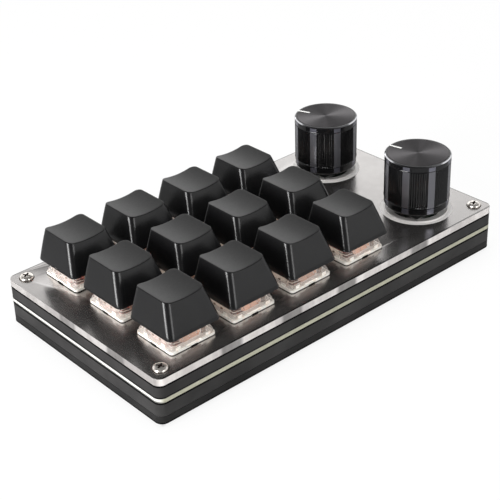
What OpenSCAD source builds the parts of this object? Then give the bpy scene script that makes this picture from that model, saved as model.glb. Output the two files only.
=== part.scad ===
// Mini keyboard: twelve sprung keys and two push-and-turn knobs on a layered case.
// Units are millimetres and +Z is up. The origin is on the desk under the middle of
// the case, and the front long edge is towards -Y.

/* [Case] */
// Case edge to the middle of the outer key column
key_margin_x = 17.5; // [15:0.5:24]
// Case edge to the middle of the outer key row
key_margin_y = 14; // [12.5:0.5:20]
// Middle of the last key column to the middle of the knobs
key_to_knob = 33.5; // [31:0.5:44]
// Middle of the knobs to the right edge of the case
knob_margin = 18; // [15:0.5:24]
// Radius of the upright case corners
corner_r = 2.5; // [1:0.1:4]
// Thickness of the base plate
base_t = 2.4; // [2:0.1:5]
// Height of the lower frame
lower_t = 4.4; // [4.2:0.1:9]
// Thickness of the circuit board
pcb_t = 1.6; // [1:0.1:2.4]
// Height of the upper frame
upper_t = 3.8; // [3:0.1:6]
// Thickness of the clear top plate
plate_t = 2.3; // [1.5:0.1:4]
// Width of the frame walls
wall = 5; // [3:0.1:6]

/* [Case screws] */
// Case edge to the screw axis
screw_inset = 4.2; // [3.8:0.1:5]
// Diameter of the screw shank
screw_d = 2.5; // [2:0.1:3]
// Diameter of the pan head
head_d = 4.2; // [4:0.1:5.5]
// Height of the pan head
head_h = 1.2; // [1.1:0.1:2.4]
// Width of the hexagon nut across its flats
nut_af = 5; // [4.5:0.1:5.5]
// Thickness of the nut, let into the underside
nut_t = 1.6; // [1.2:0.1:1.8]
// Diameter of the frame boss around each screw
boss_d = 7.6; // [6:0.1:7.6]
// Diameter of a rubber foot
foot_d = 8; // [5:0.5:11]
// Height of a rubber foot
foot_h = 1.5; // [1:0.1:4]
// Case edge to the middle of a foot
foot_inset = 13; // [12:0.5:18]

/* [Keycaps] */
// Spacing of the keys
pitch = 22; // [20:0.5:28]
// Width and depth of a keycap at its base
cap_w = 18.3; // [17:0.1:18.8]
// Width of the keycap top
cap_top_w = 13.5; // [11:0.1:15]
// Depth of the keycap top, front to back
cap_top_d = 13.6; // [11:0.1:15]
// How far the keycap top leans to the back
cap_shift = 1.5; // [0:0.1:1.8]
// Height of a keycap at its corners
cap_h = 9.7; // [8.2:0.1:13]
// Wall of a keycap
cap_wall = 1.3; // [0.9:0.05:1.4]
// Thickness of the keycap top at its thinnest
cap_top_t = 1.4; // [1:0.1:1.8]
// Depth of the fingertip dish
dish = 0.9; // [0.4:0.1:1.2]
// Corner radius at the base of a keycap
cap_r = 2; // [1.2:0.1:3]
// Corner radius at the top of a keycap
cap_top_r = 2; // [0.6:0.1:2.2]
// Thickness of the ribs inside a keycap
rib_w = 0.9; // [0.7:0.1:1.2]
// Diameter of the boss that takes the stem
cap_boss_d = 5.5; // [5.2:0.1:5.8]
// Keycap base above the top plate
cap_rest = 5.3; // [5.3:0.1:8]

/* [Switches] */
// Side of the switch body that fills the cut-out
sw_body = 14; // [13.6:0.1:14.4]
// Side of the flange on the top plate
sw_flange = 15.6; // [14.8:0.1:15.8]
// Thickness of the flange
flange_t = 1; // [0.8:0.1:1.2]
// Wall of the switch body
sw_wall = 1.3; // [1:0.1:1.4]
// Thickness of the switch floor
sw_floor = 1.5; // [1:0.1:1.8]
// Top of the switch housing above the top plate
sw_top = 6.6; // [6.4:0.1:7]
// Wall of the upper housing
hood_wall = 1.1; // [0.9:0.1:1.2]
// Key travel
travel = 4; // [3:0.1:4]
// Length of the slider skirt
skirt_h = 4; // [3.4:0.1:4.2]
// Diameter of the guide pole under the slider
pole_d = 2; // [1.6:0.1:2.2]
// Diameter of the locating peg in the circuit board
peg_d = 4; // [3.8:0.1:4.4]
// Length of the locating peg
peg_h = 3; // [2.6:0.1:3.6]
// Height of the cross on the stem
cross_h = 3.6; // [3.2:0.1:3.8]
// Length of the cross arms
cross_l = 4; // [3.8:0.1:4.2]
// Thickness of the cross arms
cross_t = 1.2; // [1.1:0.05:1.35]
// Diameter of the spring, middle of wire to middle of wire
spring_d = 4.1; // [4:0.05:4.3]
// Diameter of the spring wire
wire_d = 0.36; // [0.3:0.02:0.4]
// Thickness of the contact sheet
contact_t = 0.3; // [0.2:0.05:0.4]

/* [Knobs] */
// Spacing of the two knobs
knob_pitch = 40; // [28:0.5:42]
// Diameter of a knob under its top
knob_d = 20.5; // [18:0.1:21.4]
// Height of a knob
knob_h = 18.1; // [16:0.1:22]
// Knob base above the top plate
knob_gap = 1.2; // [1:0.1:3]
// Diameter of a knob at its foot
foot_ring_d = 19.9; // [17.6:0.1:21]
// Height of the smooth ring at the foot
foot_ring_h = 2.6; // [1.5:0.1:4]
// Height of the smooth band under the top
rim_h = 1.9; // [1:0.1:4]
// Number of flats round a knob
knob_flats = 8; // [6:1:12]
// Angle that one flat takes up
flat_angle = 33; // [24:1:36]
// Chamfer at the top of a knob
knob_chamfer = 0.4; // [0.2:0.05:0.8]
// Width of the rim around the turned disc
knob_rim = 0.6; // [0.5:0.05:1.2]
// Thickness of the turned disc
disc_t = 1.2; // [0.8:0.1:1.4]
// Length of the index groove in the disc
index_l = 4; // [2:0.1:6]
// Width of the index groove in the disc
index_w = 0.8; // [0.4:0.1:1.2]
// Diameter of the round cut-out around a knob
cutout_d = 22.5; // [22:0.1:26]
// Diameter of the hole through the floor of that cut-out
lip_d = 18; // [17.8:0.1:20.8]
// Depth of that floor below the top of the plate
lip_drop = 0.3; // [0.2:0.1:1]
// Push travel of a knob
push = 0.5; // [0.3:0.05:0.7]

/* [Encoders] */
// Side of the encoder housing
enc_w = 12; // [11:0.1:13]
// Height of the encoder housing
enc_h = 5.8; // [5.4:0.1:6]
// Thickness of the encoder mounting plate
enc_plate_t = 0.8; // [0.6:0.1:1]
// Diameter of the encoder bush
bush_d = 7; // [6.8:0.1:7.4]
// Height of the encoder bush
bush_h = 5; // [4:0.1:6]
// Diameter of the encoder shaft
shaft_d = 6; // [5.6:0.1:6.2]
// Depth of the flat on the shaft
shaft_flat = 1.5; // [1:0.1:2]

/* [Board] */
// Width of the connector shell
usb_w = 8.9; // [8:0.1:9.4]
// Height of the connector shell
usb_h = 3.2; // [2.8:0.1:3.4]
// Depth of the connector shell
usb_d = 7.3; // [6:0.1:7.4]
// Side of the controller chip
chip_w = 7; // [5:0.1:10]
// Thickness of the controller chip
chip_t = 1; // [0.8:0.1:1.6]
// Length of a diode
diode_l = 2.8; // [2:0.1:3.4]
// Thickness of a diode
diode_t = 1.1; // [0.8:0.1:1.2]

/* [Fits] */
// Clearance around a screw in its hole
screw_fit = 0.15; // [0.1:0.01:0.2]
// Clearance around each switch in the top plate
switch_fit = 0.05; // [0.03:0.01:0.1]
// Clearance around pins, pegs and inlaid pieces
pin_fit = 0.05; // [0.02:0.01:0.08]
// Clearance between sliding pieces
slide_fit = 0.3; // [0.2:0.05:0.4]
// Radial clearance of the shaft in its bush
bush_fit = 0.03; // [0.02:0.01:0.05]
// Clearance at a stop or a bottomed seat
stop_gap = 0.1; // [0.05:0.01:0.15]

/* [Hidden] */
$fn = 64;
cols = 4;
rows = 3;
case_w = key_margin_x + (cols - 1)*pitch + key_to_knob + knob_margin;
case_d = 2*key_margin_y + (rows - 1)*pitch;
z_base = foot_h;
z_lower = z_base + base_t;
z_pcb = z_lower + lower_t;
z_upper = z_pcb + pcb_t;
z_plate = z_upper + upper_t;
z_top = z_plate + plate_t;
screw_x = case_w/2 - screw_inset;
screw_y = case_d/2 - screw_inset;
key_x0 = -case_w/2 + key_margin_x;
knob_x = case_w/2 - knob_margin;
// Switch levels, counted from the top of the plate
sw_down = plate_t + upper_t;
sw_in = sw_body - 2*sw_wall;
sw_pit = sw_down - sw_floor;
hood_w = sw_flange - 0.8;
hood_top_w = 10.8;
hood_top_front = 4.7;
hood_top_back = 4.9;
hood_lip = 1;
led_w = 4.6;
led_h = 1.8;
nick_w = 5;
nick_t = 0.5;
roof_t = 1.2;
slot_w = 7.8;
slot_d = 6.4;
ceil_z = sw_top - roof_t;
skirt_z1 = ceil_z - stop_gap;
skirt_z0 = skirt_z1 - skirt_h;
skirt_w = 8.8;
skirt_dp = 7.2;
pocket_h = 2.6;
pocket_z = skirt_z0 + pocket_h;
tube_d = 3.4;
tube_z = skirt_z0 - travel + pocket_h - 1.5;
pole_z = tube_z - 0.4;
side_peg_x = 5.08;
side_peg_d = 1.7;
pin_a = [-3.81, 2.54];
pin_b = [2.54, 5.08];
pin_w = 1;
pin_len = 3.3;
pin_hole_d = 1.5;
// Encoder levels, counted from the top of the board
knob_z0 = z_top + knob_gap;
knob_z1 = knob_z0 + knob_h;
disc_z = knob_z1 - disc_t;
shaft_top = disc_z - 0.8;
bush_top = z_upper + enc_h + enc_plate_t + bush_h;
well_top = bush_top + push + 0.4;
flat_z = well_top - 0.6;
collar = 0.8;
foot_top = enc_h - stop_gap;
plunger_z = 1.6;
plunger_t = 1;
plunger_pin_d = 2;
enc_pin_x = 2.5;
enc_pin_in = 0.8;
enc_pin_d = 0.8;
enc_pin_out = 1;
tab_out = 0.25;
tab_t = 0.3;
tab_w = 2;
index_turn = [102, 111];
coils = 6;

function key_pos(r, c) = [key_x0 + (c - 1)*pitch, (r - (rows + 1)/2)*pitch];
function knob_pos(k) = [knob_x, (k - 1.5)*knob_pitch];
keys = [for (r = [1:rows]) for (c = [1:cols]) key_pos(r, c)];
screws = [for (x = [-1, 1]) for (y = [-1, 1]) [x*screw_x, y*screw_y]];

// Outlines

module rrect(w, d, r, n = 32) {
    square([w - 2*r, d], center = true);
    square([w, d - 2*r], center = true);
    for (x = [-1, 1])
        for (y = [-1, 1])
            translate([x*(w/2 - r), y*(d/2 - r)]) circle(r = r, $fn = n);
}

module case_layer(z, t) {
    translate([0, 0, z])
        linear_extrude(t) rrect(case_w, case_d, corner_r, 48);
}

module at_screws(z) {
    for (p = screws)
        translate([p[0], p[1], z]) children();
}

module screw_holes(z, t) {
    at_screws(z - 1) cylinder(h = t + 2, d = screw_d + 2*screw_fit);
}

module frame_ring(z, t) {
    difference() {
        union() {
            difference() {
                case_layer(z, t);
                translate([0, 0, z - 1])
                    linear_extrude(t + 2) rrect(case_w - 2*wall, case_d - 2*wall, 1.5);
            }
            at_screws(z) cylinder(h = t, d = boss_d);
        }
        screw_holes(z, t);
    }
}

// Case

module base_plate() {
    color("#202022") difference() {
        case_layer(z_base, base_t);
        screw_holes(z_base, base_t);
        at_screws(z_base - 1)
            cylinder(h = nut_t + 1, d = (nut_af + 2*pin_fit)/cos(30), $fn = 6);
    }
}

module lower_frame() {
    color("#1c1c1e") difference() {
        frame_ring(z_lower, lower_t);
        translate([0, case_d/2 - wall/2, z_pcb])
            cube([usb_w + 2*slide_fit, wall + 2, 2*(usb_h + slide_fit)], center = true);
    }
}

module upper_frame() {
    color("#1c1c1e") frame_ring(z_upper, upper_t);
}

module top_plate() {
    cut = sw_body + 2*switch_fit;
    color("#cfd2d4", 0.5) difference() {
        case_layer(z_plate, plate_t);
        screw_holes(z_plate, plate_t);
        for (p = keys)
            translate([p[0], p[1], z_plate - 1])
                linear_extrude(plate_t + 2) square(cut, center = true);
        for (k = [1:2])
            translate([knob_x, knob_pos(k)[1], z_top - lip_drop]) {
                cylinder(h = plate_t, d = cutout_d);
                translate([0, 0, -plate_t]) cylinder(h = 2*plate_t, d = lip_d);
            }
    }
}

module case_screws() {
    bit = 0.5;
    color("silver") at_screws(z_top) difference() {
        union() {
            rotate_extrude() intersection() {
                translate([0, head_h - head_d]) circle(r = head_d, $fn = 96);
                square([head_d/2, head_h]);
            }
            translate([0, 0, z_base + 0.5 - z_top])
                cylinder(h = z_top - z_base, d = screw_d);
        }
        for (a = [0, 90])
            rotate([0, 0, a])
                translate([0, 0, head_h])
                    cube([head_d*0.62, bit, head_h*1.3], center = true);
    }
}

module case_nuts() {
    color("silver") at_screws(z_base) difference() {
        cylinder(h = nut_t, d = nut_af/cos(30), $fn = 6);
        translate([0, 0, -1]) cylinder(h = nut_t + 2, d = screw_d + 0.02);
    }
}

module rubber_feet() {
    fx = case_w/2 - foot_inset;
    fy = case_d/2 - foot_inset;
    color("#303030") for (x = [-1, 1])
        for (y = [-1, 1])
            translate([x*fx, y*fy, 0])
                rotate_extrude() polygon([
                    [0, 0], [foot_d/2 - 0.5, 0], [foot_d/2, 0.5],
                    [foot_d/2, foot_h], [0, foot_h]
                ]);
}

// Board

module circuit_board() {
    hole = 2*pin_fit;
    color("#c9cba0") difference() {
        case_layer(z_pcb, pcb_t);
        screw_holes(z_pcb, pcb_t);
        for (p = keys)
            translate([p[0], p[1], z_pcb - 1]) rotate([0, 0, 180]) {
                cylinder(h = pcb_t + 2, d = peg_d + hole);
                for (x = [-1, 1])
                    translate([x*side_peg_x, 0, 0])
                        cylinder(h = pcb_t + 2, d = side_peg_d + hole);
                for (q = [pin_a, pin_b])
                    translate([q[0], q[1], 0])
                        cylinder(h = pcb_t + 2, d = pin_hole_d);
            }
        for (k = [1:2])
            translate([knob_x, knob_pos(k)[1], z_pcb - 1]) {
                encoder_pin_set(pcb_t + 2, 1);
                for (x = [-1, 1])
                    translate([x*(enc_w/2 + 0.25), 0, pcb_t/2 + 1])
                        cube([0.9, 2.4, pcb_t + 2], center = true);
            }
    }
}

module board_parts() {
    color("#151515") {
        for (p = keys)
            translate([p[0] - diode_l/2, p[1] - 5.2, z_pcb - diode_t])
                cube([diode_l, 1.6, diode_t]);
        translate([(key_x0 + (cols - 1)*pitch + knob_x)/2, 0, z_pcb - chip_t/2]) {
            cube([chip_w, chip_w, chip_t], center = true);
            translate([0, -chip_w/2 - 3, 0]) cube([3.2, 2.5, chip_t], center = true);
        }
    }
}

module usb_outline(w, h, d) {
    rotate([90, 0, 0]) linear_extrude(d) rrect(w, h, h/2 - 0.05, 32);
}

module usb_socket() {
    skin = 0.3;
    depth = usb_d - 1.1;
    color("silver") translate([0, case_d/2 - 0.2, z_pcb - usb_h/2]) {
        difference() {
            usb_outline(usb_w, usb_h, usb_d);
            translate([0, 1, 0])
                usb_outline(usb_w - 2*skin, usb_h - 2*skin, depth + 1);
        }
        translate([-3.35, -depth - 0.1, -0.35]) cube([6.7, depth - 0.6, 0.7]);
    }
}

// Switches, drawn from the top of the plate, and turned so that their pins are to the front

module at_keys() {
    for (p = keys)
        translate([p[0], p[1], z_top]) rotate([0, 0, 180]) children();
}

module switch_bases() {
    slot = 2*pin_fit;
    color("#e8e4dc", 0.6) at_keys() difference() {
        union() {
            translate([0, 0, -sw_down])
                linear_extrude(sw_down + flange_t/2) rrect(sw_body, sw_body, 0.5);
            linear_extrude(flange_t) rrect(sw_flange, sw_flange, 1);
            translate([0, 0, -sw_down - peg_h]) cylinder(h = peg_h + 0.5, d = peg_d);
            for (x = [-1, 1])
                translate([x*side_peg_x, 0, -sw_down - peg_h + 0.4])
                    cylinder(h = peg_h, d = side_peg_d);
        }
        difference() {
            translate([0, 0, -sw_pit])
                linear_extrude(sw_pit + flange_t + 1) rrect(sw_in, sw_in, 0.5);
            translate([0, 0, -sw_pit - 1]) cylinder(h = sw_pit + 1 + tube_z, d = tube_d);
        }
        translate([0, 0, pole_z - travel - 0.5])
            cylinder(h = sw_down + sw_top, d = pole_d + 0.4);
        for (q = [pin_a, pin_b])
            translate([q[0], q[1], -sw_down])
                cube([pin_w + slot, contact_t + slot, 2*sw_floor + 1], center = true);
        // Nicks in the flange where a puller grips
        for (y = [-1, 1])
            translate([0, y*sw_flange/2, flange_t])
                cube([nick_w, 2*nick_t, flange_t], center = true);
    }
}

module hood_block(inset, z0, z1) {
    w0 = hood_w/2 - inset;
    wt = hood_top_w/2 - inset;
    f0 = hood_top_front - inset;
    b0 = hood_top_back - inset;
    s = flange_t + hood_lip;
    intersection() {
        translate([0, hood_w, 0]) rotate([90, 0, 0]) linear_extrude(2*hood_w)
            polygon([[-w0, flange_t - 1], [w0, flange_t - 1], [w0, s],
                     [wt, sw_top], [-wt, sw_top], [-w0, s]]);
        translate([-hood_w, 0, 0]) rotate([90, 0, 90]) linear_extrude(2*hood_w)
            polygon([[-w0, flange_t - 1], [w0, flange_t - 1], [w0, s],
                     [f0, sw_top], [-b0, sw_top], [-w0, s]]);
        translate([0, 0, z0]) linear_extrude(z1 - z0) rrect(2*w0, 2*w0, 0.9);
    }
}

module switch_hoods() {
    color("#f2eee8", 0.5) at_keys() difference() {
        hood_block(0, flange_t, sw_top);
        hood_block(hood_wall, flange_t - 1, ceil_z);
        translate([0, 0, sw_top]) cube([slot_w, slot_d, 2*roof_t + 1], center = true);
        // Window for a lamp in the back wall
        translate([-led_w/2, -hood_w, flange_t - 0.5])
            cube([led_w, hood_w/2 + 2*hood_wall + 0.2, led_h + 0.5]);
    }
}

module switch_contacts() {
    pin_top = -sw_pit + contact_t;
    leaf_y = skirt_dp/2 + 0.7;
    color("#b87333") at_keys() {
        translate([pin_b[0] - pin_w/2, pin_b[1] - contact_t/2, -sw_down - pin_len])
            cube([pin_w, contact_t, pin_len + sw_floor + 1]);
        translate([0.6, pin_b[1] - contact_t/2, -sw_pit])
            cube([3.6, contact_t, sw_pit + 0.6]);
        translate([pin_a[0] - pin_w/2, pin_a[1] - contact_t/2, -sw_down - pin_len])
            cube([pin_w, contact_t, pin_len + sw_down + pin_top]);
        translate([pin_a[0] - pin_w/2, pin_a[1] - contact_t/2, -sw_pit])
            cube([pin_w, leaf_y - pin_a[1] + contact_t/2 + 0.2, contact_t]);
        translate([pin_a[0] - pin_w/2, leaf_y, -sw_pit])
            cube([6.4, 0.2, sw_pit + 0.4]);
    }
}

module stem(p) {
    color("#a03028") translate([p[0], p[1], z_top]) {
        difference() {
            union() {
                translate([0, 0, (skirt_z0 + skirt_z1)/2])
                    cube([skirt_w, skirt_dp, skirt_h], center = true);
                translate([0, 0, (skirt_z1 + sw_top)/2 - 0.25])
                    cube([slot_w - 2*slide_fit, slot_d - 2*slide_fit,
                          sw_top - skirt_z1 + 0.5], center = true);
            }
            translate([0, 0, skirt_z0 - 1]) cylinder(h = pocket_h + 1, d = 5);
        }
        translate([0, 0, pole_z]) cylinder(h = pocket_z - pole_z + 0.5, d = pole_d);
        for (a = [0, 90])
            rotate([0, 0, a])
                translate([0, 0, sw_top + cross_h/2 - 0.25])
                    cube([cross_l, cross_t, cross_h + 0.5], center = true);
    }
}

// One unbroken wire, swept along its helix as rings of six points
module spring(p) {
    ring = 6;
    steps = coils*8;
    lo = -sw_pit + wire_d/2 + 0.02;
    hi = pocket_z - wire_d/2 - 0.02;
    lead = (hi - lo)/coils;
    pts = [
        for (i = [0:steps])
            for (j = [0:ring - 1])
                let (a = 360*i/8, b = 360*j/ring, rr = spring_d/2 + wire_d/2*cos(b))
                    [rr*cos(a), rr*sin(a), lo + lead*i/8 + wire_d/2*sin(b)]
    ];
    sides = [
        for (i = [0:steps - 1])
            for (j = [0:ring - 1])
                for (h = [0, 1])
                    let (k = (j + 1)%ring, a = i*ring, b = a + ring)
                        h == 0 ? [a + j, b + k, a + k] : [a + j, b + j, b + k]
    ];
    start = [for (j = [1:ring - 2]) [0, j, j + 1]];
    last = steps*ring;
    end = [for (j = [1:ring - 2]) [last, last + j + 1, last + j]];
    echo(spring_gap = lead - wire_d);
    color("#c8c8c8") translate([p[0], p[1], z_top])
        polyhedron(points = pts, faces = concat(sides, start, end));
}

// Keycap: a leaning loft, hollow below, dished on top, with a boss for the stem

function cap_ring(w, d, y, r, z) = [
    for (k = [0:3])
        for (i = [0:8])
            let (a = 90*k + 90*i/8, sx = k == 0 || k == 3 ? 1 : -1, sy = k < 2 ? 1 : -1)
                [sx*(w/2 - r) + r*cos(a), y + sy*(d/2 - r) + r*sin(a), z]
];

module loft(rings) {
    n = len(rings[0]);
    m = len(rings) - 1;
    sides = [
        for (q = [0:m - 1])
            for (j = [0:n - 1])
                for (h = [0, 1])
                    let (k = (j + 1)%n, a = q*n, b = a + n)
                        h == 0 ? [a + j, b + k, a + k] : [a + j, b + j, b + k]
    ];
    foot = [[for (j = [0:n - 1]) j]];
    head = [[for (j = [n - 1:-1:0]) m*n + j]];
    polyhedron(points = [for (q = rings) each q], faces = concat(sides, foot, head));
}

// The cap's outline at a height, drawn in by a wall
function cap_at(z, inset) =
    let (t = z/cap_h,
         w = cap_w + (cap_top_w - cap_w)*t - 2*inset,
         d = cap_w + (cap_top_d - cap_w)*t - 2*inset,
         r = cap_r + (cap_top_r - cap_r)*t - inset*0.8)
        cap_ring(w, d, cap_shift*t, max(r, 0.3), z);

module keycap(p) {
    inner_h = cap_h - dish - cap_top_t;
    dish_r = (pow(cap_top_w/2, 2) + dish*dish)/(2*dish);
    boss_z = sw_top - cap_rest + stop_gap;
    rib_z = sw_top - cap_rest + travel + stop_gap + 0.4;
    rib_mid = (rib_z + inner_h)/2/cap_h;
    rib_l = cap_w + (cap_top_w - cap_w)*rib_mid - cap_wall;
    color("#262628") translate([p[0], p[1], z_top + cap_rest]) difference() {
        union() {
            difference() {
                loft([cap_at(0, 0), cap_at(cap_h, 0)]);
                loft([cap_at(-0.01, cap_wall), cap_at(inner_h, cap_wall)]);
            }
            translate([0, 0, boss_z])
                cylinder(h = inner_h - boss_z + 0.5, d = cap_boss_d);
            // Ribs that stay above the switch when the key is down
            for (a = [0, 90])
                translate([0, a/90*cap_shift*rib_mid, (rib_z + inner_h + 0.5)/2]) rotate([0, 0, a])
                    cube([rib_l, rib_w, inner_h + 0.5 - rib_z], center = true);
        }
        translate([0, 0, cap_h - dish + dish_r])
            rotate([90, 0, 0]) cylinder(r = dish_r, h = 3*cap_w, center = true, $fn = 180);
        for (a = [0, 90])
            rotate([0, 0, a])
                translate([0, 0, boss_z])
                    cube([cross_l + 2*pin_fit, cross_t + 2*pin_fit,
                          2*(cross_h + stop_gap)], center = true);
    }
}

// Encoders, drawn from the top of the board

module at_encoders() {
    for (k = [1:2])
        translate([knob_x, knob_pos(k)[1], z_upper]) children();
}

module encoder_pin_set(h, d) {
    for (i = [-1:1])
        translate([i*enc_pin_x, -enc_w/2 + enc_pin_in, 0]) cylinder(h = h, d = d, $fn = 24);
    for (i = [-1, 1])
        translate([i*enc_pin_x, enc_w/2 - enc_pin_in, 0]) cylinder(h = h, d = d, $fn = 24);
}

module encoder_housings() {
    color("#2b4a2f") at_encoders() difference() {
        translate([0, 0, enc_h/2]) cube([enc_w, enc_w, enc_h], center = true);
        translate([0, 0, 0.6]) cylinder(h = enc_h, d = shaft_d + 1.2);
    }
}

module encoder_bushes() {
    color("#b9bcc0") at_encoders() {
        difference() {
            union() {
                translate([0, 0, enc_h + enc_plate_t/2])
                    cube([enc_w + 2*tab_out + tab_t, enc_w, enc_plate_t], center = true);
                translate([0, 0, enc_h]) cylinder(h = enc_plate_t + bush_h, d = bush_d);
            }
            translate([0, 0, enc_h - enc_plate_t])
                cylinder(h = bush_h + enc_h, d = shaft_d + 2*bush_fit);
        }
        for (x = [-1, 1])
            translate([x*(enc_w/2 + tab_out), 0, (enc_h + enc_plate_t - pcb_t - enc_pin_out)/2])
                cube([tab_t, tab_w, enc_h + enc_plate_t + pcb_t + enc_pin_out], center = true);
    }
}

module encoder_pins() {
    color("#c8c8c8") at_encoders()
        translate([0, 0, -pcb_t - enc_pin_out]) encoder_pin_set(pcb_t + enc_pin_out, enc_pin_d);
}

module plunger(k) {
    color("#d8d2c0") translate([knob_x, knob_pos(k)[1], z_upper]) {
        translate([0, 0, plunger_z]) cylinder(h = plunger_t, d = shaft_d + 0.6);
        translate([0, 0, 0.6 + push + 0.05])
            cylinder(h = plunger_z - push - 0.6, d = plunger_pin_d);
    }
}

module d_section(z0, z1, fit) {
    difference() {
        translate([0, 0, z0]) cylinder(h = z1 - z0, d = shaft_d + 2*fit);
        translate([-10, shaft_d/2 - shaft_flat + fit, z0 - 1])
            cube([20, 10, z1 - z0 + 2]);
    }
}

module shaft(k) {
    foot_z = z_upper + plunger_z + plunger_t + 0.02;
    color("#b9bcc0") translate([knob_x, knob_pos(k)[1], 0])
        rotate([0, 0, index_turn[k - 1] - 90]) {
            translate([0, 0, foot_z])
                cylinder(h = z_upper + foot_top - foot_z, d = shaft_d + collar);
            translate([0, 0, foot_z]) cylinder(h = flat_z - foot_z, d = shaft_d);
            d_section(flat_z - 0.5, shaft_top - stop_gap, 0);
        }
}

module knob(k) {
    rim = knob_d/2;
    foot = foot_ring_d/2;
    lean = atan((rim - foot)/knob_h);
    body_h = knob_h - foot_ring_h - rim_h;
    ring_r = foot + (rim - foot)*foot_ring_h/knob_h;
    flat_w = 2*rim*sin(flat_angle/2) + 0.4;
    disc_r = rim - knob_rim;
    color("#1a1a1c") translate([knob_x, knob_pos(k)[1], 0])
        rotate([0, 0, index_turn[k - 1] - 90]) difference() {
            rotate_extrude($fn = 128) polygon([
                [0, knob_z0], [foot - 0.35, knob_z0], [foot, knob_z0 + 0.35],
                [rim, knob_z1 - knob_chamfer], [rim - knob_chamfer, knob_z1], [0, knob_z1]
            ]);
            for (i = [0:knob_flats - 1])
                rotate([0, 0, 360*(i + 0.5)/knob_flats])
                    translate([ring_r*cos(flat_angle/2), 0, knob_z0 + foot_ring_h])
                        rotate([0, lean, 0])
                            translate([0, -flat_w/2, 0]) cube([5, flat_w, body_h]);
            translate([0, 0, disc_z]) cylinder(h = disc_t + 1, r = disc_r + pin_fit);
            translate([0, 0, knob_z0 - 1])
                cylinder(h = well_top - knob_z0 + 1, d = bush_d + 1.4);
            d_section(well_top - 1, shaft_top, 0.02);
        }
}

module knob_disc(k) {
    disc_r = knob_d/2 - knob_rim;
    color("#55575a") translate([knob_x, knob_pos(k)[1], 0])
        rotate([0, 0, index_turn[k - 1] - 90]) difference() {
            translate([0, 0, disc_z]) cylinder(h = disc_t, r = disc_r, $fn = 128);
            translate([-index_w/2, disc_r - index_l, knob_z1 - 0.3])
                cube([index_w, index_l + 1, 1]);
        }
}

// What is drawn

base_plate();
lower_frame();
circuit_board();
upper_frame();
top_plate();
case_screws();
case_nuts();
rubber_feet();
board_parts();
usb_socket();
switch_bases();
switch_hoods();
switch_contacts();
encoder_housings();
encoder_bushes();
encoder_pins();
for (k = [1:2]) {
    plunger(k);
    shaft(k);
    knob(k);
    knob_disc(k);
}
for (r = [1:rows]) {
    for (c = [1:cols]) {
        keycap(key_pos(r, c));
        stem(key_pos(r, c));
        spring(key_pos(r, c));
    }
}
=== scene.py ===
import math

import bmesh
import bpy
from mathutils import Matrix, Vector


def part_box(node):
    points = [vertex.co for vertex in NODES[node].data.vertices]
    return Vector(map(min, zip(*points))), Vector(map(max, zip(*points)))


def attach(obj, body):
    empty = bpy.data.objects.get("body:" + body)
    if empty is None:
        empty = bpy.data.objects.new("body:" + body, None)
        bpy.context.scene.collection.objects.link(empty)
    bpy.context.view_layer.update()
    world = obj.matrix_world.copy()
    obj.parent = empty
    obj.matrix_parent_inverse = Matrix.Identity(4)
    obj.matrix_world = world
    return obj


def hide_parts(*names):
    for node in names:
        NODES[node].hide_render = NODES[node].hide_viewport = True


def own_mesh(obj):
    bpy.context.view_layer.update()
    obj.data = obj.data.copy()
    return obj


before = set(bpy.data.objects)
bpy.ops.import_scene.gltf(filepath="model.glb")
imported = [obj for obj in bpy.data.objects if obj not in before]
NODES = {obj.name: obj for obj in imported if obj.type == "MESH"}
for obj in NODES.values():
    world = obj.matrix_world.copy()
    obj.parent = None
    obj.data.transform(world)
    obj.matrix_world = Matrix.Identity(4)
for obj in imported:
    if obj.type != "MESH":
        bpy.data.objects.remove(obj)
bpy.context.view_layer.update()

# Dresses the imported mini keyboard: finer pieces and materials over the CAD's nodes, in a plain studio
# with the photograph's camera. Lengths are in millimetres unless a comment says metres.

MM = 0.001

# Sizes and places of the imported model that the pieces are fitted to

ROWS, COLS = 3, 4
KEYS = [f"r{r}c{c}" for r in range(1, ROWS + 1) for c in range(1, COLS + 1)]
KNOBS = (1, 2)


def mid(node):
    """The middle of a node's box, and its lowest and highest z."""
    low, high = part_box(node)
    return ((low.x + high.x)/2/MM, (low.y + high.y)/2/MM, low.z/MM, high.z/MM)


def half_size(node):
    """Half the width and half the depth of a node's box."""
    low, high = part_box(node)
    return (high.x - low.x)/2/MM, (high.y - low.y)/2/MM


PLATE_X, PLATE_Y = half_size("top_plate")
BOARD_X, BOARD_Y = half_size("circuit_board")
PLATE_TOP = mid("top_plate")[3]
FRAME_TOP = mid("upper_frame")[3]
BOARD_LOW, BOARD_TOP = mid("circuit_board")[2:]
BASE_LOW = mid("base_plate")[2]
STEM_X = [mid(f"stem_{q}")[0] for q in KEYS]
FLANGE = 2*half_size("switch_bases")[0] - (max(STEM_X) - min(STEM_X))
# Radii of the case's corners and of the screws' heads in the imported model
CASE_R = 2.5
SCREW_R = 2.1


# Material helpers

def new_material(name):
    m = bpy.data.materials.new(name)
    m.use_nodes = True
    tree = m.node_tree
    tree.nodes.clear()
    out = tree.nodes.new("ShaderNodeOutputMaterial")
    bsdf = tree.nodes.new("ShaderNodeBsdfPrincipled")
    tree.links.new(bsdf.outputs["BSDF"], out.inputs["Surface"])
    return m, tree, bsdf


def connect(tree, value, socket):
    """Links an output to a socket, or sets the socket to a plain value."""
    if isinstance(value, bpy.types.NodeSocket):
        tree.links.new(value, socket)
    else:
        socket.default_value = value


def feed(tree, node, **values):
    """Links or sets a node's sockets by their names, with an underscore for each space."""
    for name, value in values.items():
        connect(tree, value, node.inputs[name.replace("_", " ")])


def calc(tree, op, *values):
    """One step of arithmetic on outputs or numbers."""
    node = tree.nodes.new("ShaderNodeMath")
    node.operation = op
    for value, socket in zip(values, node.inputs):
        connect(tree, value, socket)
    return node.outputs[0]


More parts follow.
